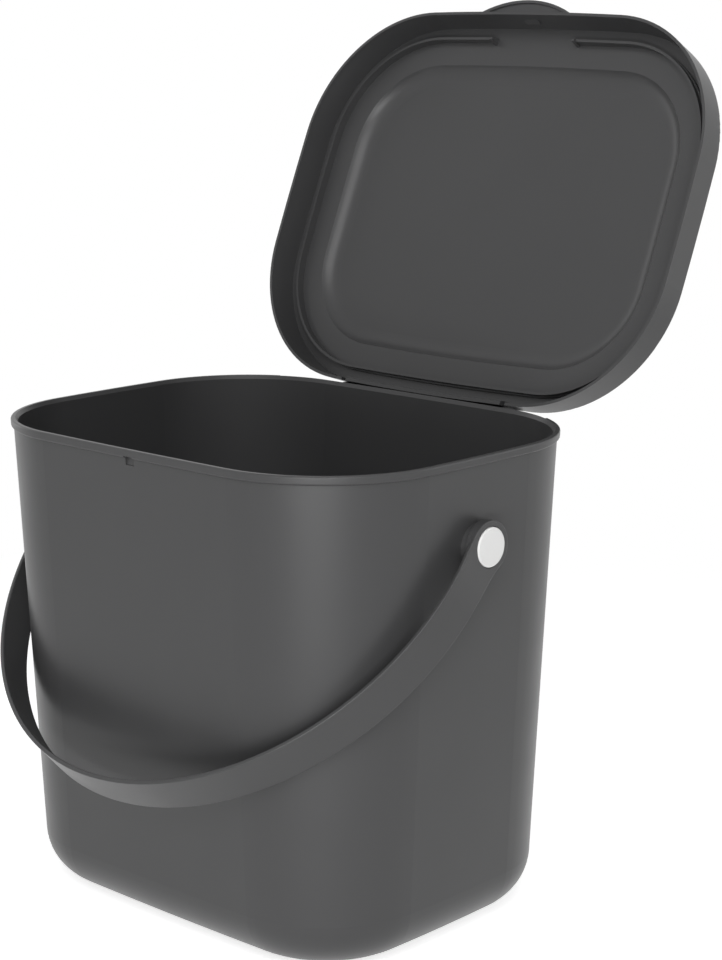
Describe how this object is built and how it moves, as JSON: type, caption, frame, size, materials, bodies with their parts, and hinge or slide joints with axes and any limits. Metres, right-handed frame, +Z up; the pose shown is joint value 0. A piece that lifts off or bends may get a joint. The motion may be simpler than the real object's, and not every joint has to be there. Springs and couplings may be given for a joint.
{
  "type": "waste bin",
  "caption": "Small rounded plastic waste bin with a hinged overlapping lid, a swinging strap handle and round pivot studs",
  "frame": {"origin": "The middle of the flat face that the bucket stands on, below the middle of its rim", "axes": "+Z up, -Y the front with the finger tab and the hanging handle, +Y the rear with the lid hinge, +X to the right seen from the front"},
  "size_m": [0.2284, 0.2778, 0.3673],
  "materials": {
    "bucket_plastic": "moulded, satin, dark grey",
    "lid_plastic": "moulded, satin, dark grey",
    "handle_plastic": "moulded, satin, dark grey",
    "stud_plastic": "moulded, satin, white"
  },
  "bodies": {
    "bin": {"bucket": "bucket_plastic", "pivot_stud_right": "stud_plastic", "pivot_stud_left": "stud_plastic"},
    "lid": {"lid": "lid_plastic"},
    "handle": {"handle": "handle_plastic"}
  },
  "joints": [
    {"name": "lid_hinge", "type": "hinge", "parent": "bin", "child": "lid", "pos_m": [0, 0.09102, 0.19513], "axis": [1, 0, 0], "range_deg": [0, 113.2]},
    {"name": "handle_swing", "type": "hinge", "parent": "bin", "child": "handle", "pos_m": [0, -0.0016, 0.1655], "axis": [-1, 0, 0], "range_deg": [0, 160]}
  ]
}
